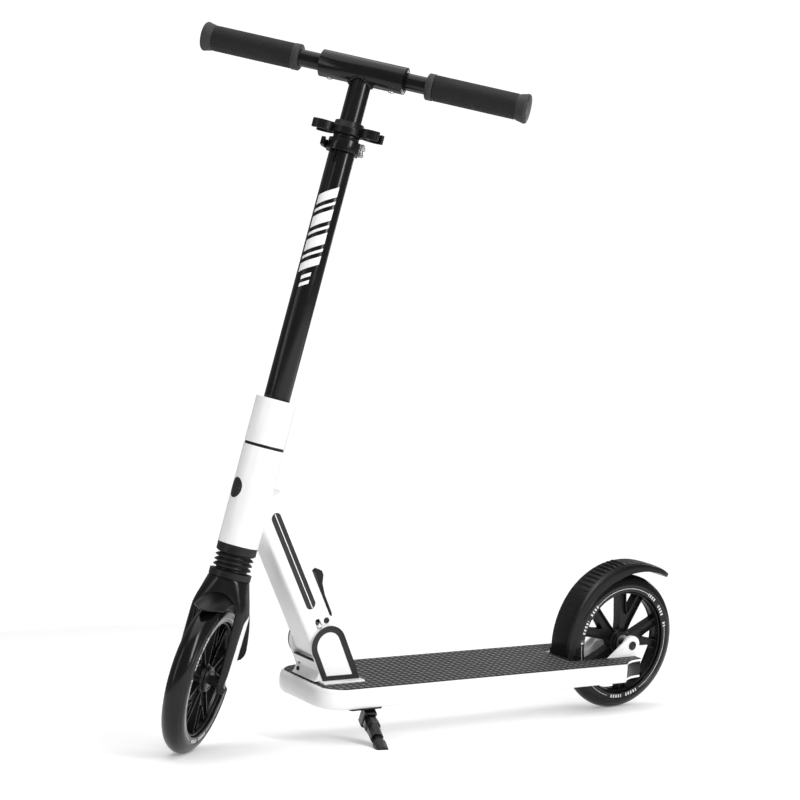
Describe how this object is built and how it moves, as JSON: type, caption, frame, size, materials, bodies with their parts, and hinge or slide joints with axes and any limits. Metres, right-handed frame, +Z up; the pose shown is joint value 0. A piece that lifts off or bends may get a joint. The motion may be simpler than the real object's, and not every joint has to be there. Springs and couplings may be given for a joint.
{
  "type": "kick scooter",
  "caption": "Folding kick scooter with large wheels, a leaned parked stance on its kickstand, a turned handlebar, front suspension and a rear fender brake.",
  "frame": {"origin": "middle of the parked scooter's bounding box, at the ground it stands on", "axes": "+X forward along the deck, +Y to the rider's left, +Z up from the ground; the scooter leans 9 degrees to +Y on its kickstand and the handlebar is turned 40 degrees to +Y"},
  "size_m": [0.8989, 0.3815, 0.9463],
  "materials": {
    "white_paint": "satin",
    "white_trim": "gloss",
    "trim_grey": "matte",
    "black_plastic": "matte",
    "wheel_plastic": "satin",
    "tyre": "satin",
    "black_paint": "satin",
    "soft_grip": "matte",
    "boot_rubber": "matte",
    "grip_tape": "matte",
    "dark_screws": "satin",
    "steel": "brushed",
    "chrome": "polished"
  },
  "bodies": {
    "chassis": {"deck": "white_paint", "deck_end_caps": "black_plastic", "grip_tape": "grip_tape", "fold_bracket": "white_paint", "bracket_trims": "trim_grey", "bracket_screws": "dark_screws", "fold_bolt": "steel", "rear_brackets": "white_paint", "rear_axle": "steel", "rear_axle_caps": "dark_screws", "rear_spacers": "dark_screws", "brake_pin": "steel", "brake_spring": "steel", "kickstand_mount": "black_paint", "kickstand_pin": "steel"},
    "rear_wheel": {"rear_tyre": "tyre", "rear_core": "wheel_plastic", "rear_bearings": "steel"},
    "brake": {"brake_fender": "black_plastic", "brake_pad": "steel"},
    "kickstand": {"kickstand_leg": "black_paint", "kickstand_spring": "steel", "kickstand_foot": "black_plastic"},
    "front_frame": {"front_frame": "white_paint", "neck_stripes": "trim_grey", "headset_bearings": "steel", "headset_ring": "black_plastic", "latch_bolt": "dark_screws", "latch_spring": "steel"},
    "latch": {"latch_lever": "black_plastic"},
    "lock_pin": {"latch_pin": "chrome"},
    "steering": {"steerer": "steel", "stem_collar": "white_paint", "lower_stem": "black_paint", "stem_bush": "black_plastic", "clamp_ring": "black_paint", "clamp_bolt": "chrome", "clamp_nut": "chrome", "grip_holder": "black_plastic", "suspension_boot": "boot_rubber", "suspension_spring": "steel"},
    "clamp": {"clamp_lever": "black_paint"},
    "handlebar": {"upper_tube": "black_paint", "crossbar": "black_paint", "bar_left": "black_paint", "bar_right": "black_paint", "grip_left": "soft_grip", "grip_right": "soft_grip"},
    "button_left": {"bar_button_left": "chrome"},
    "button_right": {"bar_button_right": "chrome"},
    "fork": {"fork": "black_paint", "fork_stripes": "white_trim", "front_visor": "black_plastic", "front_mudguard": "black_plastic", "front_axle": "steel", "front_spacers": "dark_screws"},
    "front_wheel": {"front_tyre": "tyre", "front_core": "wheel_plastic", "front_bearings": "dark_screws"}
  },
  "joints": [
    {"name": "rear_spin", "type": "hinge", "parent": "chassis", "child": "rear_wheel", "pos_m": [-0.34956, -0.10726, 0.09895], "axis": [-0.0001, 0.9877, -0.1564], "continuous": true},
    {"name": "brake_press", "type": "hinge", "parent": "chassis", "child": "brake", "pos_m": [-0.24557, -0.11132, 0.07323], "axis": [0.0001, -0.9877, 0.1564], "range_deg": [0, 2], "stiffness_Nm_per_rad": 5, "springref_deg": -5.73},
    {"name": "kickstand_fold", "type": "hinge", "parent": "chassis", "child": "kickstand", "pos_m": [0.13841, -0.05509, 0.03178], "axis": [0.0003, 0.454, 0.891], "range_deg": [0, 109]},
    {"name": "stem_fold", "type": "hinge", "parent": "chassis", "child": "front_frame", "pos_m": [0.18895, -0.10194, 0.13232], "axis": [0.0001, -0.9877, 0.1564], "range_deg": [0, 78]},
    {"name": "latch_pull", "type": "hinge", "parent": "front_frame", "child": "latch", "pos_m": [0.19346, -0.0967, 0.16537], "axis": [0.0001, -0.9877, 0.1564], "range_deg": [0, 18], "stiffness_Nm_per_rad": 0.6, "springref_deg": -11.46},
    {"name": "lock_pin_slide", "type": "slide", "parent": "front_frame", "child": "lock_pin", "axis": [0.4882, 0.1366, 0.862], "range_m": [0, 0.006]},
    {"name": "steering", "type": "hinge", "parent": "front_frame", "child": "steering", "pos_m": [0.36114, -0.10757, 0.09673], "axis": [-0.2075, 0.153, 0.9662], "continuous": true},
    {"name": "clamp_release", "type": "hinge", "parent": "steering", "child": "clamp", "pos_m": [0.20887, -0.03252, 0.78025], "axis": [0.2075, -0.153, -0.9662], "range_deg": [0, 100]},
    {"name": "bar_height", "type": "slide", "parent": "steering", "child": "handlebar", "axis": [-0.2075, 0.153, 0.9662], "range_m": [-0.045, 0.12]},
    {"name": "button_left_press", "type": "slide", "parent": "handlebar", "child": "button_left", "axis": [-0.2075, 0.153, 0.9662], "range_m": [0, 0.003], "stiffness_N_per_m": 300, "springref_m": -0.003},
    {"name": "button_right_press", "type": "slide", "parent": "handlebar", "child": "button_right", "axis": [-0.2075, 0.153, 0.9662], "range_m": [0, 0.003], "stiffness_N_per_m": 300, "springref_m": -0.003},
    {"name": "suspension", "type": "slide", "parent": "steering", "child": "fork", "axis": [-0.2075, 0.153, 0.9662], "range_m": [0, 0.01], "stiffness_N_per_m": 8000, "springref_m": -0.008, "deforming": ["suspension_boot", "suspension_spring"]},
    {"name": "front_spin", "type": "hinge", "parent": "fork", "child": "front_wheel", "pos_m": [0.36826, -0.1013, 0.09726], "axis": [-0.6288, 0.7357, -0.2516], "continuous": true}
  ],
  "couplings": [
    {"joint": "lock_pin_slide", "follows": "latch_pull", "m_per_rad": 0.01878}
  ]
}
